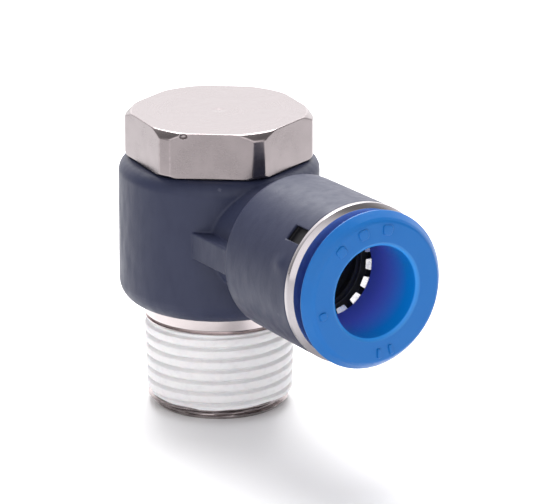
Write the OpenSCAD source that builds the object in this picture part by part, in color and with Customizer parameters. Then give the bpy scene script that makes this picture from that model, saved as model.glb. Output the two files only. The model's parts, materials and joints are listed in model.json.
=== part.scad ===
// Swivelling male elbow push-in fitting for 10 mm air tube, R3/8 taper thread.
// Millimetres, Z up along the bolt. The origin is on the bolt axis at the gauge plane
// of the taper thread, where the port face sits when the thread is hand tight.
// Heights below are counted up from the open end of the thread, and port_frame() moves
// everything down by gauge_length. The tube socket points along +X.

/* [Thread] */
// open end of the thread to its gauge plane
gauge_length = 6.4; // [6.3:0.1:6.5]
// thread pitch, 19 threads to the inch
pitch = 1.337; // [1.3:0.001:1.4]
// crest diameter at the small end of the taper
thread_small_d = 16.262; // [16.1:0.001:16.4]
// diameter lost for each millimetre of length, 1 in 16
taper = 0.0625; // [0.05:0.0025:0.08]
// depth of the cut thread
thread_depth = 0.856; // [0.6:0.004:0.9]
// length from the open end to the last ridge
thread_length = 10.4; // [10.2:0.1:10.5]
// thickness of the sealant on the crests
sealant_on_crest = 0.07; // [0.04:0.01:0.09]
// thickness of the sealant in the roots
sealant_in_root = 0.34; // [0.2:0.02:0.5]
// where the sealant starts above the open end
sealant_bottom = 1.5; // [1.3:0.1:1.9]
// where the sealant stops
sealant_top = 10.0; // [9.6:0.1:10.1]

/* [Bolt] */
// shank diameter that runs in the body
shank_d = 17; // [16.9:0.01:17]
// height where the plain shank starts
collar_z = 10.8; // [10.7:0.05:11]
// waist diameter between the O-rings
waist_d = 13.2; // [12.8:0.1:13.6]
// air bore up the middle of the bolt
bolt_bore_d = 9; // [8.4:0.1:9.4]
// top of the blind air bore
bolt_bore_top = 26; // [25.4:0.1:26.5]
// diameter of the four cross holes
cross_hole_d = 6; // [5:0.1:6.4]
// hexagon size across the flats
hex_af = 19; // [18.8:0.1:19.2]
// diameter the hexagon corners are turned down to
hex_corner_d = 21.3; // [21:0.1:21.6]
// underside of the hexagon
hex_bottom = 28.95; // [28.95:0.01:29]
// top face of the hexagon
hex_top = 34.2; // [33.8:0.1:34.6]
// diameter of the flat top inside the chamfer
hex_face_d = 19.7; // [19.4:0.1:19.9]
// light chamfer round the underside of the hexagon
hex_foot = 0.35; // [0.2:0.05:0.5]
// turn of the hexagon about the bolt
hex_turn = 23.3; // [0:0.1:60]

/* [O-rings] */
// height of the lower O-ring groove
lower_ring_z = 15.6; // [15.2:0.1:16]
// height of the upper O-ring groove
upper_ring_z = 27.1; // [26.9:0.05:27.2]
// groove width along the bolt
groove_w = 2.5; // [2.3:0.1:2.6]
// diameter at the floor of each groove
groove_d = 13.8; // [13.6:0.1:14]

/* [Body] */
// outside diameter of the barrel
barrel_d = 22.6; // [22.2:0.1:23]
// underside of the barrel
barrel_bottom = 12.25; // [12.1:0.05:12.5]
// top of the barrel
barrel_top = 28.8; // [28.7:0.01:28.8]
// rounding of the lower edge
barrel_foot_r = 2.5; // [1.5:0.1:2.8]
// rounding of the upper edge
barrel_lip_r = 1.5; // [1:0.1:1.8]
// bore the bolt runs in
barrel_bore_d = 17.1; // [17.1:0.01:17.2]
// height of the socket axis
socket_z = 21.8; // [21.6:0.05:22]
// neck between barrel and socket
neck_d = 13.6; // [13.2:0.1:14]
// back face of the socket
socket_back = 14.9; // [14.6:0.1:15.2]
// front face of the plastic socket
socket_front = 28; // [27.9:0.05:28.1]
// socket outside diameter at the back
socket_back_d = 17.8; // [17.6:0.1:18.2]
// socket outside diameter at the front
socket_front_d = 18.2; // [18:0.1:18.6]
// rounding of the back edge
socket_round = 0.9; // [0.6:0.1:1]
// half width of the web across the socket
web_half_w = 8.35; // [8:0.05:8.5]
// web thickness
web_h = 3.1; // [2.6:0.1:3.6]
// air passage from the barrel to the socket
passage_d = 8; // [7:0.1:8.6]

/* [Socket bore] */
// bore that takes the tube
tube_bore_d = 10.15; // [10.1:0.01:10.2]
// tube stop, where a pushed-in tube ends
tube_stop = 13; // [12.8:0.1:13.2]
// back of the seal chamber
seal_back = 17.2; // [17:0.1:17.4]
// diameter of the seal chamber
seal_chamber_d = 14; // [13.8:0.1:14.2]
// back of the retainer chamber
retainer_back = 20.6; // [20.5:0.05:20.7]
// diameter of the retainer chamber
retainer_chamber_d = 15.6; // [15.5:0.1:15.7]
// back of the guide ring chamber
guide_back = 23.7; // [23.65:0.01:23.75]
// diameter of the guide ring chamber
guide_chamber_d = 16; // [15.9:0.1:16.2]

/* [Key notch] */
// length of the notch along the socket
notch_l = 2.6; // [2:0.1:3]
// width of the notch round the socket
notch_w = 1.9; // [1.6:0.1:2.2]
// angle of the notch above the side of the socket
notch_angle = 43.5; // [40:0.5:47]

/* [Claws] */
// front face of the claw hoop
claw_front = 23.6; // [23.58:0.01:23.62]
// sheet thickness of hoop and teeth
claw_t = 0.3; // [0.26:0.01:0.3]
// inside diameter of the hoop
hoop_inner_d = 13.5; // [13.45:0.05:13.6]
// outside diameter of the hoop
hoop_outer_d = 15.4; // [15.2:0.1:15.4]
// radius of the tooth root
tooth_root_r = 6.45; // [6.42:0.01:6.46]
// turn of the claws about the socket axis
claw_turn = 3.8; // [-11:0.1:11]
// length of each tooth
tooth_l = 1.76; // [1.7:0.02:1.78]
// lean of each tooth from square
tooth_lean = 34.4; // [33:0.2:36]
// width at the root
tooth_root_w = 1.7; // [1.5:0.05:1.8]
// width at the tip
tooth_tip_w = 1.15; // [1:0.05:1.2]

/* [Guide ring] */
// front face of the guide ring
guide_front = 29.05; // [29:0.01:29.05]
// bevel at the front edge
guide_bevel = 0.5; // [0.3:0.05:0.5]
// inside diameter of the bearing land
guide_land_d = 13.3; // [13.3:0.01:13.34]
// inside diameter behind the land
guide_relief_d = 14.3; // [14.2:0.05:14.4]
// back of the bearing land
guide_land_back = 26.2; // [26.2:0.05:26.4]

/* [Release ring] */
// inner end of the nose
ring_nose = 23.25; // [23.22:0.01:23.3]
// front face
ring_front = 32.5; // [32.3:0.1:32.7]
// bore for the tube
ring_bore_d = 10.4; // [10.3:0.05:10.5]
// outside diameter of the neck
ring_neck_d = 13.2; // [13.16:0.01:13.2]
// diameter of the snap barb
ring_barb_d = 13.9; // [13.8:0.05:14]
// back of the flange
flange_back = 30.1; // [30.1:0.01:30.2]
// widest place of the flange
flange_wide_x = 31; // [30.9:0.05:31.1]
// flange diameter
flange_d = 17.9; // [17.6:0.1:18]
// flange diameter at its back edge
flange_back_d = 16.4; // [16:0.1:16.8]
// diameter of the shoulder between the sloping rim and the front
flange_shoulder_d = 16.74; // [16.4:0.02:16.8]
// diameter of the flat front face
flange_face_d = 14.6; // [14:0.1:15]

/* [Hidden] */
$fn = 96;
eps = 0.01;
tooth_count = 16;
shank_r = shank_d / 2;
crests = 7;
first_crest = 1.1;
neck_r = neck_d / 2;
barrel_r = barrel_d / 2;
notch_x = socket_front - notch_l;
coat_count = 6;

// moves a piece from thread-end heights to the gauge plane frame
module port_frame() {
    translate([0, 0, -gauge_length])
        children();
}

function crest_r(z) = (thread_small_d + z * taper) / 2;

// turns a profile drawn with x = radius, y = distance along the socket
module along_socket() {
    translate([0, 0, socket_z])
        rotate([0, 90, 0])
            rotate_extrude()
                children();
}

// ring-cut thread profile: bands at the crests, V grooves between them
function thread_points(first, count, top) = [
    for (i = [0 : count - 1])
        for (k = [0 : 3])
            let (z = first + i * pitch + [-0.14, 0.14, pitch / 2 - 0.1, pitch / 2 + 0.1][k])
            if (z < top)
                [crest_r(z) - (k < 2 ? 0 : thread_depth), z]
];

// outer surface of the sealant: the same ridges, shallower and softer
function coat_points(first, count) = [
    for (i = [0 : count - 1])
        for (k = [0 : 3])
            let (z = first + i * pitch + [-0.24, 0.24, pitch / 2 - 0.12, pitch / 2 + 0.12][k])
            [crest_r(z) + (k < 2 ? sealant_on_crest : sealant_in_root - thread_depth), z]
];

module hexagon_head() {
    intersection() {
        translate([0, 0, hex_bottom])
            rotate([0, 0, hex_turn + 30])
                cylinder(d = hex_af / cos(30), h = hex_top - hex_bottom, $fn = 6);
        translate([0, 0, hex_bottom])
            cylinder(d = hex_corner_d, h = hex_top - hex_bottom);
        // domed chamfer round the top, and a light one round the bottom
        translate([0, 0, hex_top - hex_corner_d / 2])
            sphere(r = norm([hex_corner_d / 2, hex_face_d / 2]));
        translate([0, 0, hex_bottom + hex_corner_d / 2])
            sphere(r = norm([hex_corner_d / 2, hex_corner_d / 2 - hex_foot]));
    }
}

module banjo_bolt() {
    color([0.78, 0.74, 0.74])
    port_frame()
    difference() {
        union() {
            hexagon_head();
            // shank with its waist and grooves, then the thread below
            rotate_extrude()
                polygon(concat(
                    [[0, 0], [7.1, 0], [7.55, 0.5]],
                    [[crest_r(0.96) - 0.25, 0.8]],
                    thread_points(first_crest, crests, 9.9),
                    [
                        [crest_r(10.02) - 0.6, 9.98],
                        [crest_r(10.1) - 0.05, 10.08],
                        [crest_r(10.4) - 0.05, thread_length],
                        [7.9, thread_length + 0.12], [7.9, collar_z - 0.05],
                        [shank_r - 0.1, collar_z - 0.05], [shank_r, collar_z + 0.05],
                        [shank_r, lower_ring_z - groove_w / 2],
                        [groove_d / 2, lower_ring_z - groove_w / 2],
                        [groove_d / 2, lower_ring_z + groove_w / 2],
                        [shank_r, lower_ring_z + groove_w / 2],
                        [shank_r, 17.7], [waist_d / 2, 18.6],
                        [waist_d / 2, 24.4], [shank_r, 25.1],
                        [shank_r, upper_ring_z - groove_w / 2],
                        [groove_d / 2, upper_ring_z - groove_w / 2],
                        [groove_d / 2, upper_ring_z + groove_w / 2],
                        [shank_r, upper_ring_z + groove_w / 2],
                        [shank_r, hex_bottom + 0.5], [0, hex_bottom + 0.5]
                    ]
                ));
        }
        // blind air bore with its drill point and mouth chamfer
        rotate_extrude()
            polygon([
                [0, -1], [bolt_bore_d / 2 + 1.4, -1], [bolt_bore_d / 2, 0.4],
                [bolt_bore_d / 2, bolt_bore_top - 1.2], [0, bolt_bore_top]
            ]);
        // four cross holes into the waist
        for (a = [0, 90])
            translate([0, 0, socket_z - 0.3])
                rotate([0, 90, a])
                    cylinder(d = cross_hole_d, h = 20, center = true, $fn = 48);
        // centre mark left by the lathe
        translate([0, 0, hex_top - 0.12])
            cylinder(d1 = 0, d2 = 0.6, h = 0.13, $fn = 24);
    }
}

module thread_sealant() {
    color([0.93, 0.92, 0.93])
    port_frame()
    rotate_extrude()
        difference() {
            polygon(concat(
                [[6, sealant_bottom]],
                [[crest_r(sealant_bottom) - thread_depth + sealant_in_root, sealant_bottom]],
                coat_points(first_crest + pitch, coat_count),
                [[crest_r(sealant_top) - 0.42, sealant_top], [6, sealant_top]]
            ));
            polygon(concat(
                [[0, 0], [7.1, 0], [7.55, 0.5], [crest_r(0.96) - 0.25, 0.8]],
                thread_points(first_crest, crests, 9.9),
                [[crest_r(10.02) - 0.6, 9.98], [crest_r(10.1) - 0.6, 11], [0, 11]]
            ));
        }
}

// O-ring squeezed a little flat by its groove
module squeezed_ring(z) {
    rotate_extrude()
        translate([(groove_d + barrel_bore_d) / 4 - 0.005, z]) {
            for (s = [-0.2, 0.2])
                translate([0, s])
                    circle(d = (barrel_bore_d - groove_d) / 2 - 0.07, $fn = 32);
            square([(barrel_bore_d - groove_d) / 2 - 0.07, 0.4], center = true);
        }
}

module upper_o_ring() {
    color([0.1, 0.1, 0.11]) port_frame() squeezed_ring(upper_ring_z);
}

module lower_o_ring() {
    color([0.1, 0.1, 0.11]) port_frame() squeezed_ring(lower_ring_z);
}

module barrel_profile() {
    translate([0, barrel_bottom + barrel_foot_r])
        square([barrel_r, barrel_top - barrel_bottom - barrel_foot_r - barrel_lip_r]);
    translate([0, barrel_bottom])
        square([barrel_r - barrel_foot_r, barrel_foot_r + eps]);
    translate([barrel_r - barrel_foot_r, barrel_bottom + barrel_foot_r])
        circle(r = barrel_foot_r, $fn = 48);
    translate([0, barrel_top - barrel_lip_r - eps])
        square([barrel_r - barrel_lip_r, barrel_lip_r + eps]);
    translate([barrel_r - barrel_lip_r, barrel_top - barrel_lip_r])
        circle(r = barrel_lip_r, $fn = 48);
}

module socket_profile() {
    polygon([
        [0, socket_back + socket_round],
        [socket_back_d / 2, socket_back + socket_round],
        [socket_front_d / 2, socket_front - 0.12],
        [socket_front_d / 2 - 0.12, socket_front],
        [0, socket_front]
    ]);
    translate([0, socket_back])
        square([socket_back_d / 2 - socket_round, socket_round + eps]);
    translate([socket_back_d / 2 - socket_round, socket_back + socket_round])
        circle(r = socket_round, $fn = 48);
}

// web that ties the barrel to the socket, one block on each side of the neck
module web() {
    translate([5.5, -web_half_w, socket_z - web_h / 2])
        cube([socket_back - 5.3, web_half_w * 2, web_h]);
}

module swivel_body() {
    color([0.28, 0.29, 0.36])
    port_frame()
    difference() {
        union() {
            rotate_extrude()
                barrel_profile();
            along_socket()
                socket_profile();
            translate([5, 0, socket_z])
                rotate([0, 90, 0])
                    cylinder(d = neck_d, h = socket_back - 4.5);
            web();
        }
        // bore for the bolt, eased at both ends
        rotate_extrude()
            polygon([
                [0, barrel_bottom - 1], [barrel_bore_d / 2 + 1.3, barrel_bottom - 1],
                [barrel_bore_d / 2, barrel_bottom + 0.3],
                [barrel_bore_d / 2, barrel_top - 0.3],
                [barrel_bore_d / 2 + 1.3, barrel_top + 1], [0, barrel_top + 1]
            ]);
        // stepped bore of the socket
        along_socket()
            polygon([
                [0, 7], [passage_d / 2, 7], [passage_d / 2, tube_stop],
                [tube_bore_d / 2, tube_stop], [tube_bore_d / 2, seal_back],
                [seal_chamber_d / 2, seal_back], [seal_chamber_d / 2, retainer_back],
                [retainer_chamber_d / 2, retainer_back], [retainer_chamber_d / 2, guide_back],
                [guide_chamber_d / 2, guide_back], [guide_chamber_d / 2, socket_front + 1],
                [0, socket_front + 1]
            ]);
        // key notch in the rim
        translate([notch_x, 0, socket_z])
            rotate([90 - notch_angle, 0, 0])
                translate([0, -notch_w / 2, 8.15])
                    cube([notch_l + 1, notch_w, 3]);
    }
}

module tube_seal() {
    color([0.12, 0.12, 0.13])
    port_frame()
    along_socket()
        polygon([
            [5.5, 17.35], [6.1, 17.3], [6.35, 18.3], [6.6, 17.3], [6.9, 17.35],
            [6.98, 17.9], [6.9, 19], [6.9, 20.3], [6.7, 20.5], [5.5, 20.5],
            [5.25, 20.2], [5.3, 19.4], [4.92, 18.4], [4.9, 18.1]
        ]);
}

module seal_retainer() {
    color([0.1, 0.1, 0.11])
    port_frame()
    along_socket()
        polygon([
            [5.25, 20.75], [5.4, 20.6], [7.6, 20.6], [7.78, 20.8],
            [7.78, 23.25], [6.95, 23.25], [6.15, 22], [6.15, 21.2], [5.25, 21.2]
        ]);
}

module claw_ring() {
    color([0.72, 0.73, 0.75])
    port_frame()
    along_socket()
        translate([hoop_inner_d / 2, claw_front - claw_t])
            square([(hoop_outer_d - hoop_inner_d) / 2, claw_t]);
}

// one leaning tooth; its root lies on the hinge line just inside the hoop
module claw_tooth(n) {
    color([0.76, 0.77, 0.79])
    port_frame()
    translate([0, 0, socket_z])
        rotate([(n - 1) * 360 / tooth_count - claw_turn, 0, 0])
            translate([claw_front - claw_t / 2, 0, tooth_root_r])
                rotate([0, 90 + tooth_lean, 0])
                    translate([0, 0, -claw_t / 2])
                        linear_extrude(claw_t)
                            polygon([
                                [0, -tooth_root_w / 2], [tooth_l * 0.55, -tooth_root_w / 2 + 0.12],
                                [tooth_l, -tooth_tip_w / 2], [tooth_l, tooth_tip_w / 2],
                                [tooth_l * 0.55, tooth_root_w / 2 - 0.12], [0, tooth_root_w / 2]
                            ]);
}

module guide_ring() {
    color([0.82, 0.79, 0.8])
    port_frame()
    along_socket()
        polygon([
            [guide_relief_d / 2, guide_back + 0.1], [7.85, guide_back + 0.1],
            [7.98, guide_back + 0.3], [7.98, socket_front + 0.02],
            [socket_front_d / 2, socket_front + 0.02],
            [socket_front_d / 2, guide_front - guide_bevel],
            [socket_front_d / 2 - guide_bevel, guide_front],
            [guide_land_d / 2 + 0.4, guide_front], [guide_land_d / 2, guide_front - 0.4],
            [guide_land_d / 2, guide_land_back], [guide_relief_d / 2, guide_land_back - 0.15]
        ]);
}

module release_profile() {
    // nose, barb, neck and the back half of the flange
    polygon([
        [ring_bore_d / 2, ring_nose + 0.1], [ring_bore_d / 2 + 0.1, ring_nose],
        [5.5, ring_nose], [6.1, ring_nose + 1.2],
        [6.1, ring_nose + 1.5], [ring_barb_d / 2, ring_nose + 2.1],
        [ring_barb_d / 2, guide_land_back - 0.15], [ring_neck_d / 2, guide_land_back - 0.1],
        [ring_neck_d / 2, flange_back], [flange_back_d / 2, flange_back],
        [flange_d / 2, flange_wide_x], [flange_d / 2, flange_wide_x + 0.1],
        [flange_shoulder_d / 2, ring_front - 0.5],
        [flange_shoulder_d / 2 - 0.27, ring_front - 0.2],
        [flange_face_d / 2 + 0.4, ring_front - 0.05], [flange_face_d / 2, ring_front],
        [ring_bore_d / 2 + 0.25, ring_front], [ring_bore_d / 2, ring_front - 0.35]
    ]);
}

module release_ring() {
    color([0.15, 0.45, 0.75])
    port_frame()
    along_socket()
        release_profile();
}

banjo_bolt();
thread_sealant();
upper_o_ring();
lower_o_ring();
swivel_body();
tube_seal();
seal_retainer();
claw_ring();
claw_tooth(1);  // claw_tooth_01
claw_tooth(2);  // claw_tooth_02
claw_tooth(3);  // claw_tooth_03
claw_tooth(4);  // claw_tooth_04
claw_tooth(5);  // claw_tooth_05
claw_tooth(6);  // claw_tooth_06
claw_tooth(7);  // claw_tooth_07
claw_tooth(8);  // claw_tooth_08
claw_tooth(9);  // claw_tooth_09
claw_tooth(10);  // claw_tooth_10
claw_tooth(11);  // claw_tooth_11
claw_tooth(12);  // claw_tooth_12
claw_tooth(13);  // claw_tooth_13
claw_tooth(14);  // claw_tooth_14
claw_tooth(15);  // claw_tooth_15
claw_tooth(16);  // claw_tooth_16
guide_ring();
release_ring();
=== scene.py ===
"""Looks of the swivelling push-in elbow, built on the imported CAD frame.

Lengths in the builders below are in millimetres, heights counted up from the open end of
the thread and reaches along the tube socket from the bolt's axis, as on the drawing.
to_frame() turns them into the shared frame, in metres.
"""

import json
import math

import bmesh
import bpy
import numpy as np
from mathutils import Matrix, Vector


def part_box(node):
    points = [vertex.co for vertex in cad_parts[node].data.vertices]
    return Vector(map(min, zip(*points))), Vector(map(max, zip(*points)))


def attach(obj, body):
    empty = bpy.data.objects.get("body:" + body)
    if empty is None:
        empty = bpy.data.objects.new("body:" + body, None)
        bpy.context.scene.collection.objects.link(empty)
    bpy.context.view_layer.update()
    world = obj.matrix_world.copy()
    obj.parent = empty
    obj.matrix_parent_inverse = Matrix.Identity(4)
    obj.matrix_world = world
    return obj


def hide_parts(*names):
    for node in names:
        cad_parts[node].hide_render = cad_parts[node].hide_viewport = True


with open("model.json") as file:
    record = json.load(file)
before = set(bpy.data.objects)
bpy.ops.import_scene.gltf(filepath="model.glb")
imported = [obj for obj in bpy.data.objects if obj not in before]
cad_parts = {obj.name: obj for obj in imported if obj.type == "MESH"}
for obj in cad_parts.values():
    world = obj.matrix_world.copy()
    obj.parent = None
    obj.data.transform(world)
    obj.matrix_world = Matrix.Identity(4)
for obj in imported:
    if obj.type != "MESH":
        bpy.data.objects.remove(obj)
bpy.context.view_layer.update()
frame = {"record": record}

MM = 0.001
record = frame["record"]
mounts = {m["name"]: m for m in record["mounts"]}

# ---------------------------------------------------------------- sizes, in millimetres
thread_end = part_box("banjo_bolt")[0].z / MM
head_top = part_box("banjo_bolt")[1].z / MM - thread_end
socket_z = mounts["tube_socket"]["pos_m"][2] / MM - thread_end
ring_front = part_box("release_ring")[1].x / MM
ring_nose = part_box("release_ring")[0].x / MM
guide_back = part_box("guide_ring")[0].x / MM
guide_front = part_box("guide_ring")[1].x / MM

pitch = 1.337
thread_small_r = 8.131
thread_depth = 0.856
groove_height = 3.364          # a groove's height at the angle below
groove_angle = math.radians(-32.3)
hex_turn = math.radians(23.3)
hex_half = 9.5
hex_corner_r = 10.65
hex_bottom = 28.95
hex_face_r = 9.85
hex_foot = 0.35
turned_corner_r = hex_corner_r - 0.07
NICK_PLACE, NICK_R = (5.85, -8.29, 33.87), 0.50
shank_r = 8.5
barrel_r = 11.3
barrel_bottom, barrel_top = 12.25, 28.8
socket_back, socket_front = 14.9, 28.0
socket_back_r, socket_front_r = 8.9, 9.1
tooth_hinge_x, tooth_root_r = 23.45, 6.45
tooth_length, tooth_lean = 1.76, math.radians(34.4)
tooth_thick = 0.3
claw_turn = math.radians(3.8)
neck_r = 6.8
web_middle_x, web_half_length = 10.3, 4.9
web_half_width, web_height = 8.35, 3.1
barrel_foot_round, barrel_lip_round = 2.5, 1.5
barrel_bore_r, barrel_bore_mouth_r, barrel_bore_ease = 8.55, 10.6, 0.3
air_bore_r = 4.5
waist_r, o_ring_groove_r = 6.6, 6.9
cross_hole_r, cross_hole_height, cross_hole_length = 3.0, 21.5, 20.0
o_ring_heights = {"upper": 27.1, "lower": 15.6}
coat_inner_r = 7.0
centre_mark_r, centre_mark_depth = 0.75, 0.10
floor_gap = 0.02
# how far two shapes run into each other where they meet
neck_fillet, web_fillet, socket_fillet, bore_ease, notch_ease = 0.25, 0.14, 0.25, 0.12, 0.08
# easing of the head's edges: turned corners, top dome, foot dome, top, underside, nick
corner_ease, dome_ease, foot_ease, top_ease, under_ease, nick_ease = (
    0.09, 0.12, 0.10, 0.14, 0.10, 0.06)
TUBE_AXIS = (0.0, 0.0, (socket_z + thread_end) * MM)


def to_frame(co):
    """Drawing millimetres to frame metres."""
    co = np.asarray(co, float).copy()
    co[:, 2] += thread_end
    return co * MM


# ---------------------------------------------------------------- mesh builders

def make_mesh(name, co, faces, body, material, nodes=(), sharp=35):
    """One closed piece from drawing coordinates, riding a body."""
    mesh = bpy.data.meshes.new(name)
    mesh.from_pydata(to_frame(co).tolist(), [], [list(map(int, f)) for f in faces])
    mesh.validate()
    bm = bmesh.new()
    bm.from_mesh(mesh)
    bmesh.ops.recalc_face_normals(bm, faces=bm.faces)
    bm.to_mesh(mesh)
    bm.free()
    mesh.shade_smooth()
    if sharp:
        mesh.set_sharp_from_angle(angle=math.radians(sharp))
    obj = bpy.data.objects.new(name, mesh)
    bpy.context.scene.collection.objects.link(obj)
    mesh.materials.append(material)
    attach(obj, body)
    if nodes:
        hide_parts(*nodes)
    return obj


def rounded(points, steps=5):
    """A closed loop of (u, v, radius) corners as a dense loop with true arcs at the corners."""
    out = []
    n = len(points)
    for i, (u, v, rad) in enumerate(points):
        p = np.array([u, v], float)
        if rad <= 0:
            out.append(p)
            continue
        a = np.array(points[i - 1][:2], float) - p
        b = np.array(points[(i + 1) % n][:2], float) - p
        la, lb = np.linalg.norm(a), np.linalg.norm(b)
        a, b = a / la, b / lb
        half = math.acos(max(-1.0, min(1.0, float(a @ b)))) / 2
        if half < 0.02 or half > math.pi / 2 - 0.02:
            out.append(p)
            continue
        cut = min(rad / math.tan(half), la * 0.48, lb * 0.48)
        r = cut * math.tan(half)
        bis = (a + b) / np.linalg.norm(a + b)
        centre = p + bis * (r / math.sin(half))
        s, e = p + a * cut - centre, p + b * cut - centre
        turn = math.pi - 2 * half
        cross = s[0] * e[1] - s[1] * e[0]
        for k in range(steps + 1):
            t = turn * k / steps * (1 if cross > 0 else -1)
            c, d = math.cos(t), math.sin(t)
            out.append(centre + np.array([s[0] * c - s[1] * d, s[0] * d + s[1] * c]))
    return np.array(out)


def spin(loop, segments, along_x):
    """Vertices and faces of a loop of (radius, reach) turned about the bolt or the socket."""
    loop = np.asarray(loop, float)
    n = len(loop)
    ang = np.linspace(0, 2 * math.pi, segments, endpoint=False)
    r, s = loop[:, 0][None, :], loop[:, 1][None, :]
    c, d = np.cos(ang)[:, None], np.sin(ang)[:, None]
    if along_x:
        co = np.stack([np.broadcast_to(s, (segments, n)), r * c, r * d + socket_z], -1)
    else:
        co = np.stack([r * c, r * d, np.broadcast_to(s, (segments, n))], -1)
    co = co.reshape(-1, 3)
    i = np.arange(segments)[:, None] * n
    j = ((np.arange(segments) + 1) % segments)[:, None] * n
    k = np.arange(n)[None, :]
    m = (k + 1) % n
    faces = np.stack([i + k, j + k, j + m, i + m], -1).reshape(-1, 4)
    return co, faces


def grid_faces(rows, columns, closed=True):
    """Quads between rows of points that each run once round; the rows may close as well."""
    first = np.arange(rows if closed else rows - 1)
    i = first[:, None] * columns
    j = ((first + 1) % rows)[:, None] * columns
    k = np.arange(columns)[None, :]
    m = (k + 1) % columns
    return np.stack([i + k, i + m, j + m, j + k], -1).reshape(-1, 4)


def lathe(name, corners, body, material, nodes, segments=192, along_x=True,
          steps=5, sharp=35):
    co, faces = spin(rounded(corners, steps), segments, along_x)
    return make_mesh(name, co, faces, body, material, nodes, sharp)


def surface_nets(field, lo, hi, h):
    """Quads on the zero surface of a distance field, with every vertex pulled onto it."""
    axes = [np.arange(a, b + h, h, dtype=np.float32) for a, b in zip(lo, hi)]
    grid = np.stack(np.meshgrid(*axes, indexing="ij"), -1).reshape(-1, 3)
    shape = tuple(len(a) for a in axes)
    value = np.empty(len(grid), np.float32)
    for a in range(0, len(grid), 400000):
        value[a:a + 400000] = field(grid[a:a + 400000])
    value = value.reshape(shape)
    inside = value < 0
    count = np.zeros([s - 1 for s in shape], np.int8)
    for dx in (0, 1):
        for dy in (0, 1):
            for dz in (0, 1):
                count += inside[dx:shape[0] - 1 + dx, dy:shape[1] - 1 + dy,
                                dz:shape[2] - 1 + dz]
    mixed = (count > 0) & (count < 8)
    cell = np.argwhere(mixed)
    index = np.full(mixed.shape, -1, np.int64)
    index[mixed] = np.arange(len(cell))
    total = np.zeros((len(cell), 3))
    hits = np.zeros(len(cell))
    for axis in range(3):
        others = [k for k in range(3) if k != axis]
        for p in (0, 1):
            for q in (0, 1):
                off = np.zeros(3, int)
                off[others[0]], off[others[1]] = p, q
                a = cell + off
                b = a.copy()
                b[:, axis] += 1
                fa, fb = value[tuple(a.T)], value[tuple(b.T)]
                cross = (fa < 0) != (fb < 0)
                t = np.where(cross, fa / np.where(cross, fa - fb, 1), 0)
                point = a.astype(float)
                point[:, axis] += t
                total[cross] += point[cross]
                hits[cross] += 1
    co = total / hits[:, None] * h + np.array(lo)
    eps = 0.01
    for _ in range(4):
        f = field(co)
        g = np.empty_like(co)
        for axis in range(3):
            step = np.zeros(3)
            step[axis] = eps
            g[:, axis] = (field(co + step) - field(co - step)) / (2 * eps)
        move = g * (f / np.maximum((g * g).sum(1), 0.05))[:, None]
        size = np.linalg.norm(move, axis=1)
        co -= move * np.minimum(1, 0.5 * h / np.maximum(size, 1e-9))[:, None]
    quads = []
    for axis in range(3):
        u, v = [k for k in range(3) if k != axis]
        a = [slice(None)] * 3
        b = [slice(None)] * 3
        a[axis], b[axis] = slice(0, -1), slice(1, None)
        for k in (u, v):
            a[k] = b[k] = slice(1, -1)
        at = np.argwhere(inside[tuple(a)] != inside[tuple(b)])
        at[:, u] += 1
        at[:, v] += 1
        ring = []
        for du, dv in ((-1, -1), (0, -1), (0, 0), (-1, 0)):
            c = at.copy()
            c[:, u] += du
            c[:, v] += dv
            ring.append(index[tuple(c.T)])
        quads.append(np.stack(ring, -1))
    return co, np.concatenate(quads)


# ---------------------------------------------------------------- distance fields

def smooth_min(a, b, k):
    h = np.maximum(k - np.abs(a - b), 0) / k
    return np.minimum(a, b) - h * h * k * 0.25


def smooth_max(a, b, k):
    return -smooth_min(-a, -b, k)


def loop_distance(loop, u, v):
    """Signed distance to a closed polygon in a half plane, negative inside."""
    best = np.full(u.shape, 1e9)
    sign = np.ones(u.shape)
    n = len(loop)
    for i in range(n):
        ax, ay = loop[i]
        bx, by = loop[i - 1]
        ex, ey = bx - ax, by - ay
        wx, wy = u - ax, v - ay
        t = np.clip((wx * ex + wy * ey) / (ex * ex + ey * ey), 0, 1)
        dx, dy = wx - ex * t, wy - ey * t
        best = np.minimum(best, dx * dx + dy * dy)
        above, below = v >= ay, v < by
        left = ex * wy > ey * wx
        flip = (above & below & left) | (~above & ~below & ~left)
        sign = np.where(flip, -sign, sign)
    return sign * np.sqrt(best)


def block(p, centre, half, rad):
    q = np.abs(p - np.array(centre)) - np.array(half) + rad
    outside = np.linalg.norm(np.maximum(q, 0), axis=1)
    return outside + np.minimum(q.max(1), 0) - rad


BARREL = rounded([(-30, barrel_bottom, 0), (barrel_r, barrel_bottom, barrel_foot_round),
                  (barrel_r, barrel_top, barrel_lip_round), (-30, barrel_top, 0)], 12)
SOCKET = rounded([(-30, socket_back, 0), (socket_back_r, socket_back, 0.9),
                  (socket_front_r, socket_front, 0.16), (-30, socket_front, 0)], 8)
BOLT_BORE = [(-30, barrel_bottom - 2), (barrel_bore_mouth_r, barrel_bottom - 2),
             (barrel_bore_r, barrel_bottom + barrel_bore_ease),
             (barrel_bore_r, barrel_top - barrel_bore_ease),
             (barrel_bore_mouth_r, barrel_top + 2), (-30, barrel_top + 2)]
SOCKET_BORE = [(-30, 7), (4.0, 7), (4.0, 13.0), (5.075, 13.0), (5.075, 17.2), (7.0, 17.2),
               (7.0, 20.6), (7.8, 20.6), (7.8, 23.7), (8.0, 23.7), (8.0, 30), (-30, 30)]
NOTCH_ANGLE = math.radians(43.5)
NOTCH_FLOOR_R = 8.5
NOTCH_MIDDLE_X, NOTCH_HALF = 27.9, (2.5, 1.5, 0.95)
SWELL_LENGTH, SWELL_WIDTH, SWELL_HEIGHT, SWELL_R = 1.0, 0.9, 0.22, 9.0
SWELL_ANGLE, SWELL_X = math.radians(160), 26.2


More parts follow.
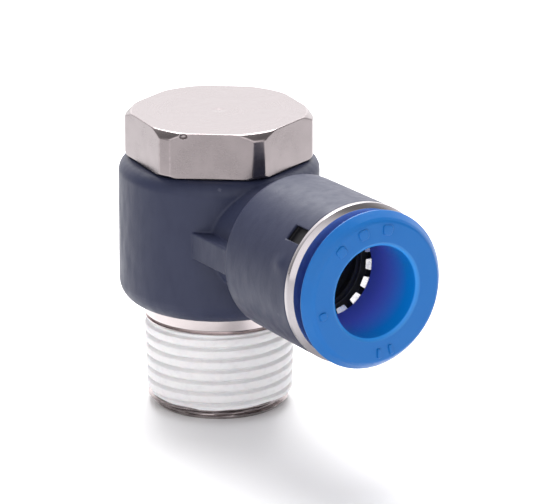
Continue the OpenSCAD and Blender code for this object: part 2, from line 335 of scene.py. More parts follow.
def body_field(p):
    """The moulded body: barrel, neck, web and socket run together with moulding fillets."""
    p = np.asarray(p, float)
    x, y, z = p[:, 0], p[:, 1], p[:, 2] - socket_z
    about_bolt = np.hypot(x, y)
    about_tube = np.hypot(y, z)
    barrel = loop_distance(BARREL, about_bolt, p[:, 2])
    socket = loop_distance(SOCKET, about_tube, x)
    neck = np.maximum(about_tube - neck_r, np.abs(x - 8) - 8)
    web = block(p, (web_middle_x, 0, socket_z),
                (web_half_length, web_half_width, web_height / 2), 0.22)
    shape = smooth_min(barrel, neck, neck_fillet)
    shape = smooth_min(shape, web, web_fillet)
    shape = smooth_min(shape, socket, socket_fillet)
    shape = smooth_max(shape, -loop_distance(BOLT_BORE, about_bolt, p[:, 2]), bore_ease)
    shape = smooth_max(shape, -loop_distance(SOCKET_BORE, about_tube, x), bore_ease)
    # a low swelling beside the notch, over the snap rib inside
    turn = np.arctan2(z, y) - SWELL_ANGLE
    turn = (turn + math.pi) % (2 * math.pi) - math.pi
    swell = np.exp(-((x - SWELL_X) / SWELL_LENGTH) ** 2 - (turn * SWELL_R / SWELL_WIDTH) ** 2)
    shape = shape - SWELL_HEIGHT * swell * (about_tube > NOTCH_FLOOR_R)
    # key notch in the rim
    out = -y * math.cos(NOTCH_ANGLE) + z * math.sin(NOTCH_ANGLE)
    side = y * math.sin(NOTCH_ANGLE) + z * math.cos(NOTCH_ANGLE)
    notch = block(np.stack([x, out, side], 1),
                  (NOTCH_MIDDLE_X, NOTCH_FLOOR_R + NOTCH_HALF[1], 0), NOTCH_HALF, 0.06)
    return smooth_max(shape, -notch, notch_ease)


def set_field_normals(obj, field):
    """Shading normals from the field's own gradient, so the grid never shows."""
    count = len(obj.data.vertices)
    co = np.empty(count * 3)
    obj.data.vertices.foreach_get("co", co)
    co = co.reshape(-1, 3) / MM
    co[:, 2] -= thread_end
    normal = np.empty_like(co)
    for axis in range(3):
        step = np.zeros(3)
        step[axis] = 0.03
        normal[:, axis] = field(co + step) - field(co - step)
    normal /= np.maximum(np.linalg.norm(normal, axis=1), 1e-9)[:, None]
    obj.data.normals_split_custom_set_from_vertices(normal.tolist())


# ---------------------------------------------------------------- materials

class Finish:
    """A Principled material with short helpers for its procedural detail."""

    def __init__(self, name, colour, metallic=0.0, roughness=0.5, **sockets):
        self.mat = bpy.data.materials.new(name)
        self.mat.use_nodes = True
        self.mat.diffuse_color = (*colour, 1)
        self.tree = self.mat.node_tree
        self.bsdf = self.tree.nodes["Principled BSDF"]
        self.bsdf.inputs["Base Color"].default_value = (*colour, 1)
        self.bsdf.inputs["Metallic"].default_value = metallic
        self.bsdf.inputs["Roughness"].default_value = roughness
        for key, value in sockets.items():
            self.bsdf.inputs[key.replace("_", " ")].default_value = value
        self.coord = self.tree.nodes.new("ShaderNodeTexCoord").outputs["Object"]
        self.height = None

    def node(self, kind, **values):
        made = self.tree.nodes.new(kind)
        for key, value in values.items():
            setattr(made, key, value)
        return made

    def link(self, a, b):
        self.tree.links.new(a, b)

    def math(self, operation, a, b=0.0):
        made = self.node("ShaderNodeMath", operation=operation)
        for i, value in enumerate((a, b)):
            if isinstance(value, (int, float)):
                made.inputs[i].default_value = value
            else:
                self.link(value, made.inputs[i])
        return made.outputs[0]

    def noise(self, scale, detail=3.0, stretch=(1, 1, 1), coord=None):
        mapping = self.node("ShaderNodeMapping")
        mapping.inputs["Scale"].default_value = stretch
        self.link(coord or self.coord, mapping.inputs["Vector"])
        made = self.node("ShaderNodeTexNoise")
        made.inputs["Scale"].default_value = scale
        made.inputs["Detail"].default_value = detail
        self.link(mapping.outputs[0], made.inputs["Vector"])
        return made.outputs["Fac"]

    def spread(self, value, low, high, out_low=0.0, out_high=1.0):
        made = self.node("ShaderNodeMapRange")
        for key, v in (("From Min", low), ("From Max", high),
                       ("To Min", out_low), ("To Max", out_high)):
            made.inputs[key].default_value = v
        self.link(value, made.inputs["Value"])
        return made.outputs[0]

    def tint(self, factor, colour):
        """Mixes another colour over the base colour by a factor."""
        base = self.bsdf.inputs["Base Color"]
        made = self.node("ShaderNodeMix", data_type="RGBA")
        if base.is_linked:
            self.link(base.links[0].from_socket, made.inputs["A"])
        else:
            made.inputs["A"].default_value = base.default_value
        made.inputs["B"].default_value = (*colour, 1)
        self.link(factor, made.inputs["Factor"])
        self.link(made.outputs["Result"], base)

    def rough(self, value):
        self.link(value, self.bsdf.inputs["Roughness"])

    def bump(self, value, distance):
        """Adds a bump of that real depth, in metres."""
        made = self.node("ShaderNodeBump")
        made.inputs["Strength"].default_value = 1.0
        made.inputs["Distance"].default_value = distance
        self.link(value, made.inputs["Height"])
        if self.height is not None:
            self.link(self.height, made.inputs["Normal"])
        self.height = made.outputs["Normal"]
        self.link(self.height, self.bsdf.inputs["Normal"])

    def edges(self, low, high):
        """A factor that rises on convex edges."""
        geo = self.node("ShaderNodeNewGeometry")
        return self.spread(geo.outputs["Pointiness"], low, high)

    def radius(self, axis, centre):
        """Distance from a line along an axis, in metres."""
        sep = self.node("ShaderNodeSeparateXYZ")
        self.link(self.coord, sep.inputs[0])
        keep = [k for k in range(3) if k != axis]
        parts = []
        for k in keep:
            off = self.math("SUBTRACT", sep.outputs[k], centre[k])
            parts.append(self.math("MULTIPLY", off, off))
        return self.math("SQRT", self.math("ADD", parts[0], parts[1]))

    def rings(self, axis, centre, scale, detail=4.0):
        """Noise that varies only with distance from the axis and along it, as lathe marks do."""
        sep = self.node("ShaderNodeSeparateXYZ")
        self.link(self.coord, sep.inputs[0])
        comb = self.node("ShaderNodeCombineXYZ")
        self.link(self.radius(axis, centre), comb.inputs[0])
        self.link(sep.outputs[axis], comb.inputs[1])
        return self.noise(scale, detail, coord=comb.outputs[0])


def nickel(name, axis, centre, colour, roughness):
    f = Finish(name, colour, metallic=1.0, roughness=roughness)
    marks = f.rings(axis, centre, 7000.0, 4.0)
    cloud = f.noise(320.0, 4.0)
    fine = f.noise(2200.0, 2.0)
    f.tint(f.spread(cloud, 0.38, 0.72, 0.0, 0.5), tuple(c * 0.80 for c in colour))
    # edge wear with a painted highlight: brighter, mottled colour on the head's eased edges
    worn_and_sheen = f.node("ShaderNodeAttribute", attribute_name="wear_and_sheen").outputs["Fac"]
    f.tint(f.math("MULTIPLY", worn_and_sheen, f.spread(fine, 0.4, 0.6, 0.2, 0.7)),
           tuple(c * 1.45 for c in colour))
    f.rough(f.math("ADD", f.spread(cloud, 0.3, 0.7, roughness - 0.04, roughness + 0.05),
                   f.spread(marks, 0.35, 0.65, -0.02, 0.02)))
    if axis == 2:
        # painted dark reflections on the bare thread end, darker in noisy patches towards the open
        # end
        sep = f.node("ShaderNodeSeparateXYZ")
        f.link(f.coord, sep.inputs[0])
        end = thread_end * MM
        low = f.spread(sep.outputs[2], end + 0.0012, end + 0.0020, 1.0, 0.0)
        dark_reflection_patches = f.spread(f.noise(420.0, 3.0), 0.35, 0.65, 0.45, 0.95)
        f.tint(f.math("MULTIPLY", low, dark_reflection_patches), (0.15, 0.125, 0.125))
    f.bump(marks, 0.0000020)
    f.bump(fine, 0.0000012)
    return f.mat


NOTCH_PLACE = (26.9, -8.8 * math.cos(NOTCH_ANGLE), 8.8 * math.sin(NOTCH_ANGLE) + socket_z)


def grey_plastic():
    f = Finish("body_plastic", (0.0215, 0.0265, 0.0580), roughness=0.46, IOR=1.5,
               Specular_IOR_Level=0.28)
    cloud = f.noise(180.0, 4.0)
    grain = f.noise(5200.0, 2.0)
    flow = f.noise(900.0, 3.0, (1, 1, 0.35))
    f.tint(f.spread(cloud, 0.3, 0.75, 0.0, 0.5), (0.027, 0.032, 0.067))
    f.tint(f.spread(flow, 0.45, 0.8, 0.0, 0.35), (0.017, 0.021, 0.047))
    # painted highlight: paler bluish grey on convex edges
    f.tint(f.math("MULTIPLY", f.edges(0.53, 0.62), 0.35), (0.11, 0.113, 0.155))
    # painted shade inside the key notch, darkening it almost to black where the wall is thin over
    # the dark cavity
    spot = f.node("ShaderNodeVectorMath", operation="DISTANCE")
    f.link(f.coord, spot.inputs[0])
    spot.inputs[1].default_value = tuple(to_frame([NOTCH_PLACE])[0])
    near = f.spread(spot.outputs["Value"], 0.0025, 0.0030, 1.0, 0.0)
    sunk = f.spread(f.radius(0, TUBE_AXIS), 0.00872, 0.00888, 1.0, 0.0)
    f.tint(f.math("MULTIPLY", near, sunk), (0.004, 0.004, 0.006))
    f.rough(f.spread(flow, 0.3, 0.7, 0.40, 0.54))
    f.bump(grain, 0.000010)
    f.bump(flow, 0.000018)
    return f.mat


def blue_plastic():
    f = Finish("release_blue", (0.003, 0.118, 0.393), roughness=0.36, IOR=1.49,
               Specular_IOR_Level=0.3,
               Subsurface_Weight=0.08, Subsurface_Scale=0.0006)
    f.bsdf.inputs["Subsurface Radius"].default_value = (0.2, 0.5, 1.0)
    cloud = f.noise(240.0, 3.0)
    grain = f.noise(4200.0, 2.0)
    f.tint(f.spread(cloud, 0.3, 0.75, 0.0, 0.5), (0.006, 0.130, 0.410))
    # painted light in the bore, a brighter blue, and painted shade turning it violet towards its
    # dark inner end
    sep = f.node("ShaderNodeSeparateXYZ")
    f.link(f.coord, sep.inputs[0])
    deep = f.spread(sep.outputs[0], 0.0262, 0.0305, 1.0, 0.0)
    bore = f.spread(f.radius(0, TUBE_AXIS), 0.0053, 0.0056, 1.0, 0.0)
    f.tint(f.math("MULTIPLY", bore, 0.9), (0.001, 0.21, 0.64))
    f.tint(f.math("MULTIPLY", f.math("MULTIPLY", deep, bore), 0.85), (0.13, 0.15, 0.72))
    # painted light on the neck behind the flange, for the light it takes through the flange
    neck = f.spread(sep.outputs[0], 0.0300, 0.0304, 1.0, 0.0)
    outside = f.spread(f.radius(0, TUBE_AXIS), 0.0058, 0.0060)
    f.tint(f.math("MULTIPLY", neck, outside), (0.16, 0.30, 0.95))
    # painted highlight on the lip of the bore, a little paler
    mouth = f.spread(sep.outputs[0], 0.0318, 0.0321)
    lip = f.spread(f.radius(0, TUBE_AXIS), 0.00555, 0.0057, 1.0, 0.0)
    f.tint(f.math("MULTIPLY", f.math("MULTIPLY", mouth, lip), 0.22), (0.10, 0.33, 0.66))
    f.rough(f.spread(grain, 0.3, 0.7, 0.30, 0.44))
    f.bump(grain, 0.000006)
    return f.mat


def white_sealant():
    f = Finish("white_sealant", (0.72, 0.715, 0.725), roughness=0.62, IOR=1.4,
               Subsurface_Weight=0.1, Subsurface_Scale=0.0004)
    cloud = f.noise(420.0, 4.0)
    blot = f.noise(1500.0, 4.0, (1, 1, 1.6))
    f.tint(f.spread(blot, 0.5, 0.8, 0.0, 0.55), (0.60, 0.59, 0.61))
    f.tint(f.spread(cloud, 0.35, 0.7, 0.0, 0.3), (0.80, 0.79, 0.79))
    f.rough(f.spread(blot, 0.3, 0.7, 0.5, 0.75))
    f.bump(blot, 0.00006)
    f.bump(f.noise(5200.0, 3.0), 0.00002)
    return f.mat


def rubber():
    f = Finish("black_rubber", (0.022, 0.022, 0.024), roughness=0.5)
    dust = f.noise(2400.0, 4.0)
    f.tint(f.spread(dust, 0.55, 0.8, 0.0, 0.4), (0.06, 0.06, 0.062))
    f.rough(f.spread(dust, 0.3, 0.7, 0.42, 0.62))
    f.bump(f.noise(3800.0, 3.0), 0.00001)
    return f.mat


def dark_acetal():
    f = Finish("retainer_plastic", (0.035, 0.036, 0.042), roughness=0.42)
    cloud = f.noise(900.0, 3.0)
    f.tint(f.spread(cloud, 0.4, 0.7, 0.0, 0.4), (0.055, 0.056, 0.062))
    f.rough(f.spread(cloud, 0.3, 0.7, 0.35, 0.5))
    f.bump(f.noise(3600.0, 3.0), 0.000008)
    return f.mat


def stainless():
    f = Finish("spring_stainless", (0.66, 0.65, 0.655), metallic=1.0, roughness=0.26)
    roll = f.noise(3000.0, 4.0, (0.2, 1, 1))
    f.tint(f.spread(roll, 0.45, 0.75, 0.0, 0.4), (0.62, 0.61, 0.62))
    f.rough(f.spread(roll, 0.3, 0.7, 0.18, 0.34))
    f.bump(roll, 0.000006)
    return f.mat


bolt_nickel = nickel("bolt_nickel", 2, (0, 0, 0), (0.56, 0.505, 0.505), 0.20)
# painted shade: the head is the same plated bolt, given the shank's nickel at about half the
# colour
head_nickel_painted_shade = nickel("head_nickel_painted_shade", 2, (0, 0, 0), (0.278, 0.246, 0.250), 0.24)
guide_nickel = nickel("guide_nickel", 0, TUBE_AXIS, (0.44, 0.415, 0.43), 0.20)
body_grey = grey_plastic()
ring_blue = blue_plastic()
sealant_white = white_sealant()
rubber_black = rubber()
retainer_dark = dark_acetal()
claw_steel = stainless()


# ---------------------------------------------------------------- bolt

def crest_r(z):
    return thread_small_r + z / 32.0


def groove_phase(z, ang):
    """Distance from the nearest groove's floor in pitches, 0 at the floor and 0.5 at the crest."""
    u = (z - groove_height) / pitch - (ang - groove_angle) / (2 * math.pi)
    return np.abs(u - np.round(u))


def cut_thread(z, ang):
    """Radius of the metal thread: rounded V grooves, running out at the top."""
    deep = np.clip((0.46 - groove_phase(z, ang)) / 0.40, 0, 1)
    deep = np.minimum(deep * thread_depth, thread_depth * 0.93)
    fade = np.clip((10.45 - z) / 0.5, 0, 1) * np.clip((z + 0.2) / 0.6, 0, 1)
    radius = crest_r(z) - deep * fade
    return np.minimum(radius, 7.15 + np.clip(z, 0, 9) * 1.02)


def coat_outer(z, ang):
    """Radius of the sealant: narrow grooves between full, rounded ridges."""
    u = groove_phase(z, ang)
    dip = np.clip((0.23 - u) / 0.23, 0, 1)
    dip = dip * dip * (3 - 2 * dip)
    crown = 0.10 * (1 - np.clip(u / 0.5, 0, 1)) ** 2
    uneven = (0.016 * np.sin(3.1 * ang + 2.3 * z) + 0.012 * np.sin(7.3 * ang - 4.1 * z + 1.0)
              + 0.008 * np.sin(13 * ang + 6.7 * z + 0.4))
    fade = np.clip((10.2 - z) / 0.5, 0, 1)
    return crest_r(z) + 0.07 - (dip * 0.46 + crown) * fade + uneven


def build_bolt():
    segments = 240
    ang = np.linspace(0, 2 * math.pi, segments, endpoint=False)
    thread_rows = np.concatenate([np.linspace(0.0, 1.1, 12), np.linspace(1.16, 10.45, 175)])
    upper = rounded([(7.9, 10.5, 0), (7.9, 10.74, 0.05), (shank_r, 10.8, 0.12),
                     (shank_r, 14.35, 0.12),
                     (o_ring_groove_r, 14.35, 0.1), (o_ring_groove_r, 16.85, 0.1),
                     (shank_r, 16.85, 0.12), (shank_r, 17.7, 0.15), (waist_r, 18.6, 0.3),
                     (waist_r, 24.4, 0.3), (shank_r, 25.1, 0.15), (shank_r, 25.85, 0.12),
                     (o_ring_groove_r, 25.85, 0.1), (o_ring_groove_r, 28.35, 0.1),
                     (shank_r, 28.35, 0.12),
                     (shank_r, 29.6, 0)], 3)
    rows_r, rows_z = [], []
    for z in thread_rows:
        rows_r.append(cut_thread(z, ang))
        rows_z.append(z)
    for r, z in upper:
        rows_r.append(np.full(segments, r))
        rows_z.append(z)
    # top of the shank goes inside the head, then back down the blind air bore
    inner = [(0.02, 29.6), (0.02, 26.0), (air_bore_r, 24.8), (air_bore_r, 0.55),
             (4.62, 0.35), (4.95, 0.0)]
    for r, z in inner:
        rows_r.append(np.full(segments, r))
        rows_z.append(z)
    r = np.array(rows_r)
    z = np.array(rows_z)[:, None]
    co = np.stack([r * np.cos(ang), r * np.sin(ang), np.broadcast_to(z, r.shape)], -1)
    faces = grid_faces(len(rows_z), segments)
    shank = make_mesh("bolt_shank", co.reshape(-1, 3), faces, "bolt",
                      bolt_nickel, sharp=40)
    for turn in (0, 1):
        drill_hole(shank, turn)
    return shank


def drill_hole(target, turn):
    """Cuts one straight hole right through the waist."""
    bm = bmesh.new()
    bmesh.ops.create_cone(bm, cap_ends=True, segments=48, radius1=cross_hole_r * MM,
                          radius2=cross_hole_r * MM, depth=cross_hole_length * MM)
    mesh = bpy.data.meshes.new("cutter")
    bm.to_mesh(mesh)
    bm.free()
    cutter = bpy.data.objects.new("cutter", mesh)
    cutter.rotation_euler = (0, math.pi / 2, math.pi / 2 * turn)
    cutter.location = (0, 0, (cross_hole_height + thread_end) * MM)
    bpy.context.scene.collection.objects.link(cutter)
    mod = target.modifiers.new("cut", "BOOLEAN")
    mod.operation = "DIFFERENCE"
    mod.solver = "EXACT"
    mod.object = cutter
    bake(target)
    bpy.data.objects.remove(cutter)


def bake(obj):
    """Replaces a mesh by its evaluated one, so no modifier is left on it."""
    bpy.context.view_layer.update()
    dg = bpy.context.evaluated_depsgraph_get()
    mesh = bpy.data.meshes.new_from_object(obj.evaluated_get(dg))
    old = obj.data
    obj.modifiers.clear()
    obj.data = mesh
    bpy.data.meshes.remove(old)


def head_field(p, soft=1.0):
    """Hexagon, turned corners, domed chamfers top and bottom, one nick; edges eased."""
    p = np.asarray(p, float)
    x, y, z = p[:, 0], p[:, 1], p[:, 2]
    around_z = np.hypot(x, y)
    flats = np.full(len(p), -1e9)
    for k in range(6):
        a = hex_turn + k * math.pi / 3
        flats = np.maximum(flats, x * math.cos(a) + y * math.sin(a) - hex_half)
    top_r = math.hypot(hex_corner_r, hex_face_r)
    foot_r = math.hypot(hex_corner_r, hex_corner_r - hex_foot)
    top_dome = np.hypot(around_z, z - (head_top - hex_corner_r)) - top_r
    foot_dome = np.hypot(around_z, z - (hex_bottom + hex_corner_r)) - foot_r
    shape = smooth_max(flats, around_z - turned_corner_r, corner_ease * soft)
    shape = smooth_max(shape, top_dome, dome_ease * soft)
    shape = smooth_max(shape, foot_dome, foot_ease * soft)
    shape = smooth_max(shape, z - head_top, top_ease * soft)
    shape = smooth_max(shape, hex_bottom - z, under_ease * soft)
    nick = np.linalg.norm((p - np.array(NICK_PLACE)) * (1.0, 1.0, 1.5), axis=1) - NICK_R
    return smooth_max(shape, -nick, nick_ease * soft)


def build_head():
    """The head as one closed surface, found along rays from its middle."""
    segments = 900
    ang = np.linspace(0, 2 * math.pi, segments, endpoint=False)
    mid = (hex_bottom + head_top) / 2
    r, top, low = hex_corner_r, head_top, hex_bottom
    guide = [(c, top) for c in np.linspace(0.05, 9.0, 26)]
    guide += [(c, top) for c in np.linspace(9.06, r, 24)]
    guide += [(r, c) for c in np.linspace(top - 0.06, top - 1.5, 28)]
    guide += [(r, c) for c in np.linspace(top - 1.7, low + 0.7, 12)]
    guide += [(r, c) for c in np.linspace(low + 0.6, low + 0.04, 12)]
    guide += [(c, low) for c in np.linspace(r - 0.05, 9.0, 12)]
    guide += [(c, low) for c in np.linspace(8.6, 0.05, 8)]
    g = np.array(guide)
    ray = np.stack([g[:, 0][:, None] * np.cos(ang), g[:, 0][:, None] * np.sin(ang),
                    np.broadcast_to((g[:, 1] - mid)[:, None], (len(g), segments))], -1)
    ray = ray.reshape(-1, 3)
    centre = np.array([0, 0, mid])
    near, far = np.full(len(ray), 0.3), np.full(len(ray), 1.2)
    for _ in range(26):
        half = (near + far) / 2
        inside = head_field(centre + ray * half[:, None]) < 0
        near, far = np.where(inside, half, near), np.where(inside, far, half)
    co = centre + ray * near[:, None]
    n = len(g)
    faces = grid_faces(n, segments, closed=False).tolist() + [list(range(segments)),
                              list(range((n - 1) * segments, n * segments))]
    # lathe centre mark in the top face
    rr = np.hypot(co[:, 0], co[:, 1])
    pip = np.clip(1 - rr / centre_mark_r, 0, 1)
    sunk = centre_mark_depth * pip * pip * (3 - 2 * pip)
    co[:, 2] -= np.where(co[:, 2] > mid, sunk, 0)
    eased = head_field(co) - head_field(co, 0.02)
    head = make_mesh("bolt_head", co, faces, "bolt", head_nickel_painted_shade, sharp=0)
    # how far each point lies on an eased edge, for the tint of edge wear and painted highlight
    # there
    wear_and_sheen = head.data.attributes.new("wear_and_sheen", "FLOAT", "POINT")
    wear_and_sheen.data.foreach_set("value", np.clip(eased / 0.02, 0, 1).astype(np.float32))
    return head


shank = build_bolt()
head = build_head()
for piece in (shank, head):
    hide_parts("banjo_bolt")


def build_sealant():
    """A thin shell over the thread, with uneven brushed ends."""
    segments = 240
    ang = np.linspace(0, 2 * math.pi, segments, endpoint=False)
    low = (1.45 + 0.10 * np.sin(2 * ang + 0.5) + 0.06 * np.sin(5 * ang + 1.1)
           + 0.03 * np.sin(11 * ang))
    high = 10.2 + 0.07 * np.sin(ang * 2 + 2.0) + 0.05 * np.sin(6 * ang) + 0.02 * np.sin(15 * ang)
    rows = 175
    rings_r, rings_z = [], []
    for k in range(rows):
        t = k / (rows - 1)
        z = low + (high - low) * t
        lip = min(1.0, min(t, 1 - t) * 22)
        outer = coat_outer(z, ang)
        inner = cut_thread(z, ang) - 0.03
        rings_r.append(inner + np.maximum(outer - inner, 0.05) * math.sqrt(max(lip, 0.02)))
        rings_z.append(z)
    for k in reversed(range(0, rows, 2)):
        t = k / (rows - 1)
        z = low + (high - low) * t
        rings_r.append(np.full(segments, coat_inner_r))
        rings_z.append(z)
    r, z = np.array(rings_r), np.array(rings_z)
    co = np.stack([r * np.cos(ang), r * np.sin(ang), z], -1)
    faces = grid_faces(len(r), segments)
    return make_mesh("thread_sealant_coat", co.reshape(-1, 3), faces, "bolt",
                     sealant_white, ["thread_sealant"], sharp=0)


build_sealant()

for name, height in o_ring_heights.items():
    lathe(name + "_o_ring_soft", [(6.92, height - 1.0, 0.78), (8.515, height - 1.0, 0.78),
                                  (8.515, height + 1.0, 0.78), (6.92, height + 1.0, 0.78)],
          "bolt", rubber_black, [name + "_o_ring"], along_x=False, steps=8)


# ---------------------------------------------------------------- moulded body

def build_body():
    grid = 0.18
    co, quads = surface_nets(body_field, (-12.1, -12.1, 11.6), (28.8, 12.1, 31.6), grid)
    body = make_mesh("swivel_body_moulding", co, quads, "elbow", body_grey,
                     ["swivel_body"], sharp=0)
    set_field_normals(body, body_field)
    return body


build_body()


# ---------------------------------------------------------------- inside the socket

lathe("tube_seal_lip", [(5.5, 17.35, 0.1), (6.1, 17.3, 0.1), (6.35, 18.3, 0.15), (6.6, 17.3, 0.1),
                        (6.9, 17.35, 0.1), (6.98, 17.9, 0.1), (6.9, 19, 0.2), (6.9, 20.3, 0.1),
                        (6.7, 20.5, 0.1), (5.5, 20.5, 0.15), (5.25, 20.2, 0.1), (5.3, 19.4, 0.3),
                        (4.92, 18.4, 0.08), (4.9, 18.1, 0.08)],
      "elbow", rubber_black, ["tube_seal"])
lathe("seal_retainer_ring", [(5.25, 20.75, 0.05), (5.4, 20.6, 0.05), (7.6, 20.6, 0.05),
                             (7.78, 20.8, 0.05), (7.78, 23.25, 0.06), (6.95, 23.25, 0.06),
                             (6.15, 22, 0.1), (6.15, 21.2, 0.06), (5.25, 21.2, 0.06)],
      "elbow", retainer_dark, ["seal_retainer"])
lathe("claw_hoop", [(6.75, 23.3, 0.05), (7.7, 23.3, 0.05), (7.7, 23.6, 0.05), (6.75, 23.6, 0.05)],
      "claws", claw_steel, ["claw_ring"])


def build_tooth(number):
    """A leaning spring tooth: pressed sheet with a rounded end and eased edges."""
    outline = rounded([(0.0, -0.85, 0.08), (0.97, -0.73, 0.6), (tooth_length, -0.575, 0.12),
                       (tooth_length, 0.575, 0.12), (0.97, 0.73, 0.6), (0.0, 0.85, 0.08)], 4)
    half = tooth_thick / 2
    ease = 0.05
    layers = [(-half, ease), (-half + ease, 0.0), (half - ease, 0.0), (half, ease)]
    middle = outline.mean(0)
    co = []
    for height, inset in layers:
        for u, v in outline:
            d = np.array([u, v]) - middle
            w = middle + d * (1 - inset / np.linalg.norm(d))
            co.append((w[0], w[1], height))
    n = len(outline)
    faces = []
    for k in range(len(layers) - 1):
        for i in range(n):
            j = (i + 1) % n
            faces.append([k * n + i, k * n + j, (k + 1) * n + j, (k + 1) * n + i])
    faces.append(list(range(n)))
    faces.append(list(range((len(layers) - 1) * n, len(layers) * n)))
    co = np.array(co)
    # lean about the hinge line, then set round the socket
    a = math.pi / 2 + tooth_lean
    x = co[:, 0] * math.cos(a) + co[:, 2] * math.sin(a) + tooth_hinge_x
    z = -co[:, 0] * math.sin(a) + co[:, 2] * math.cos(a) + tooth_root_r
    y = co[:, 1]
    t = 2 * math.pi * (number - 1) / 16 - claw_turn
    co = np.stack([x, y * math.cos(t) - z * math.sin(t),
                   y * math.sin(t) + z * math.cos(t) + socket_z], 1)
    make_mesh("claw_tooth_%02d_blade" % number, co, faces, "tooth_%02d" % number,
              claw_steel, ["claw_tooth_%02d" % number], sharp=30)


for number in range(1, 17):
    build_tooth(number)

lathe("guide_ring_turned", [(7.15, guide_back, 0.05), (7.85, guide_back, 0.05),
                            (7.98, guide_back + 0.2, 0.05), (7.98, socket_front + 0.02, 0),
                            (socket_front_r, socket_front + 0.02, 0.04),
                            (socket_front_r, guide_front - 0.5, 0.10),
                            (socket_front_r - 0.5, guide_front, 0.10),
                            (7.05, guide_front, 0.08), (6.65, guide_front - 0.4, 0.08),
                            (6.65, 26.2, 0.05), (7.15, 26.05, 0.05)],
      "elbow", guide_nickel, ["guide_ring"], segments=256, steps=4)


# ---------------------------------------------------------------- release ring

FACE_X = ring_front - 0.18
RING_CORNERS = [
    (5.2, ring_nose + 0.1, 0.05), (5.3, ring_nose, 0.05), (5.5, ring_nose, 0.05),
    (6.1, ring_nose + 1.2, 0.1), (6.1, ring_nose + 1.5, 0.1), (6.95, ring_nose + 2.1, 0.08),
    (6.95, 26.05, 0.08), (6.6, 26.1, 0.05), (6.6, 30.1, 0.15), (8.2, 30.1, 0.25),
    (8.95, 31.0, 0.25), (8.93, 31.12, 0.2), (8.33, FACE_X - 0.38, 0.35),
    (7.95, FACE_X, 0.5), (7.4, FACE_X, 0), (6.9, FACE_X, 0), (6.4, FACE_X, 0),
    (6.0, FACE_X, 0), (5.62, FACE_X, 0.12), (5.5, FACE_X - 0.05, 0.1),
    (5.2, FACE_X - 0.3, 0.22),
]
# raised plain marks on the front face: middle angle in degrees, half width, inner and outer
# radius; they stand where the moulded characters of a real ring stand
FACE_MARKS = [
    (130.0, 5.0, 6.45, 7.6), (104.0, 5.0, 6.45, 7.6), (78.5, 5.0, 6.45, 7.6),
    (-87.5, 1.8, 6.45, 7.6), (-75.0, 1.8, 6.45, 7.6), (-167.5, 3.6, 6.6, 7.5),
]


def build_release_ring():
    co, faces = spin(rounded(RING_CORNERS, 8), 256, True)
    ring = make_mesh("release_ring_moulding", co, faces, "release", ring_blue,
                     ["release_ring"], sharp=35)
    return ring


def build_face_mark(number, middle, half, inner, outer):
    """A shallow raised pad with rounded ends, sunk a little into the ring's face."""
    mid_r, half_r = (inner + outer) / 2, (outer - inner) / 2
    half_w = math.radians(half) * mid_r
    corner = min(half_w, half_r) * 0.6
    outline = rounded([(-half_r, -half_w, corner), (half_r, -half_w, corner),
                       (half_r, half_w, corner), (-half_r, half_w, corner)], 6)
    layers = [(FACE_X - 0.25, 1.0), (FACE_X + 0.06, 1.0), (FACE_X + 0.13, 0.96),
              (ring_front - 0.008, 0.88), (ring_front, 0.78)]
    co = []
    for x, scale in layers:
        for u, v in outline * scale:
            t = math.radians(middle) + v / mid_r
            co.append((x, (mid_r + u) * math.cos(t), (mid_r + u) * math.sin(t) + socket_z))
    n = len(outline)
    faces = [[k * n + i, k * n + (i + 1) % n, (k + 1) * n + (i + 1) % n, (k + 1) * n + i]
             for k in range(len(layers) - 1) for i in range(n)]
    faces += [list(range(n)), list(range((len(layers) - 1) * n, len(layers) * n))]
    make_mesh("release_ring_mark_%d" % number, co, faces, "release", ring_blue,
              ["release_ring"], sharp=40)


build_release_ring()
for number, mark in enumerate(FACE_MARKS, 1):
    build_face_mark(number, *mark)


# ---------------------------------------------------------------- stage, light and camera

VIEW_AZIMUTH, VIEW_ELEVATION = 57.67, 18.23
VIEW_DISTANCE = 0.650
VIEW_LENS = 370.4


def build_stage():
    bm = bmesh.new()
    bmesh.ops.create_grid(bm, x_segments=2, y_segments=2, size=3.0)
    mesh = bpy.data.meshes.new("floor")
    bm.to_mesh(mesh)
    bm.free()
    floor = bpy.data.objects.new("floor", mesh)
    floor.location = (0, 0, (thread_end - floor_gap) * MM)
    bpy.context.scene.collection.objects.link(floor)
    f = Finish("pale_floor", (0.95, 0.95, 0.955), roughness=0.7)
    f.tint(f.spread(f.noise(3.0, 2.0), 0.3, 0.7, 0.0, 0.3), (0.94, 0.94, 0.945))
    floor.data.materials.append(f.mat)


def add_area(name, place, aim, size, power):
    light = bpy.data.lights.new(name, "AREA")
    light.shape = "RECTANGLE"
    light.size, light.size_y = size
    light.energy = power
    obj = bpy.data.objects.new(name, light)
    obj.location = place
    obj.rotation_mode = "QUATERNION"
    obj.rotation_quaternion = (Vector(place) - Vector(aim)).to_track_quat("Z", "Y")
    obj.visible_camera = False
    bpy.context.scene.collection.objects.link(obj)


def around(azimuth, elevation, distance, centre):
    a, e = math.radians(azimuth), math.radians(elevation)
    return Vector(centre) + distance * Vector((math.sin(a) * math.cos(e),
                                               -math.cos(a) * math.cos(e), math.sin(e)))


# soft patches of light in the studio's walls: turn from the camera and height in degrees,
# where the patch starts and is full (cosine of the angle from its middle), and strength
WALL_LIGHTS = [(180, 15, 0.30, 0.95, 1.90), (0, 10, 0.20, 0.95, 1.75),
               (100, 15, 0.20, 0.95, 0.30), (-100, 15, 0.20, 0.95, 0.37)]


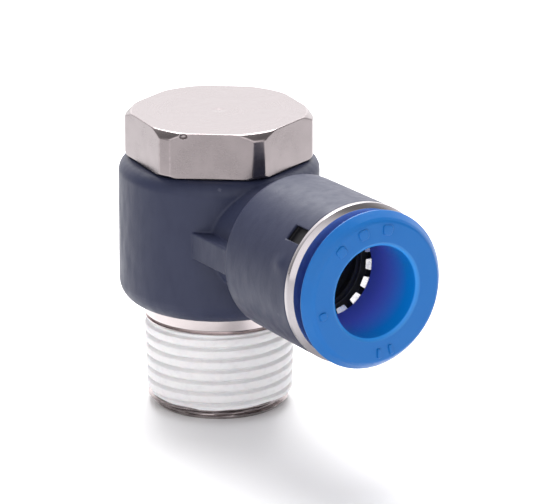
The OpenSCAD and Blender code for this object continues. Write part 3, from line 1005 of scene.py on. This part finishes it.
def build_light():
    """Soft studio light: pale walls brighter behind and in front, one softbox above."""
    world = bpy.data.worlds.new("studio")
    bpy.context.scene.world = world
    world.use_nodes = True
    nodes, links = world.node_tree.nodes, world.node_tree.links
    coord = nodes.new("ShaderNodeTexCoord")
    total = None
    for turn, height, start, full, strength in WALL_LIGHTS:
        dot = nodes.new("ShaderNodeVectorMath")
        dot.operation = "DOT_PRODUCT"
        dot.inputs[1].default_value = around(VIEW_AZIMUTH + turn, height, 1.0, (0, 0, 0))
        links.new(coord.outputs["Generated"], dot.inputs[0])
        ramp = nodes.new("ShaderNodeMapRange")
        ramp.interpolation_type = "SMOOTHSTEP"
        for key, value in (("From Min", start), ("From Max", full), ("To Min", 0.0),
                           ("To Max", strength)):
            ramp.inputs[key].default_value = value
        links.new(dot.outputs["Value"], ramp.inputs["Value"])
        if total is None:
            total = ramp.outputs[0]
        else:
            add = nodes.new("ShaderNodeMath")
            links.new(total, add.inputs[0])
            links.new(ramp.outputs[0], add.inputs[1])
            total = add.outputs[0]
    links.new(total, nodes["Background"].inputs["Strength"])
    nodes["Background"].inputs["Color"].default_value = (1.0, 0.985, 0.99, 1)
    centre = (0.008, 0, 0.012)
    add_area("softbox_top", around(VIEW_AZIMUTH + 180, 62, 0.22, centre), centre,
             (0.16, 0.16), 0.78)


def build_camera():
    a = math.radians(VIEW_AZIMUTH)
    right = Vector((math.cos(a), math.sin(a), 0))
    aim = right * 0.00683 + Vector((0, 0, 17.434 * MM + thread_end * MM))
    cam = bpy.data.objects.new("camera", bpy.data.cameras.new("camera"))
    cam.data.lens = VIEW_LENS
    cam.data.sensor_width = 36
    cam.data.clip_start, cam.data.clip_end = 0.01, 20
    cam.data.dof.use_dof = False
    cam.location = around(VIEW_AZIMUTH, VIEW_ELEVATION, VIEW_DISTANCE, aim)
    cam.rotation_mode = "QUATERNION"
    cam.rotation_quaternion = (cam.location - aim).to_track_quat("Z", "Y")
    bpy.context.scene.collection.objects.link(cam)
    bpy.context.scene.camera = cam


build_stage()
build_light()
build_camera()
bpy.context.scene.view_settings.view_transform = "Standard"
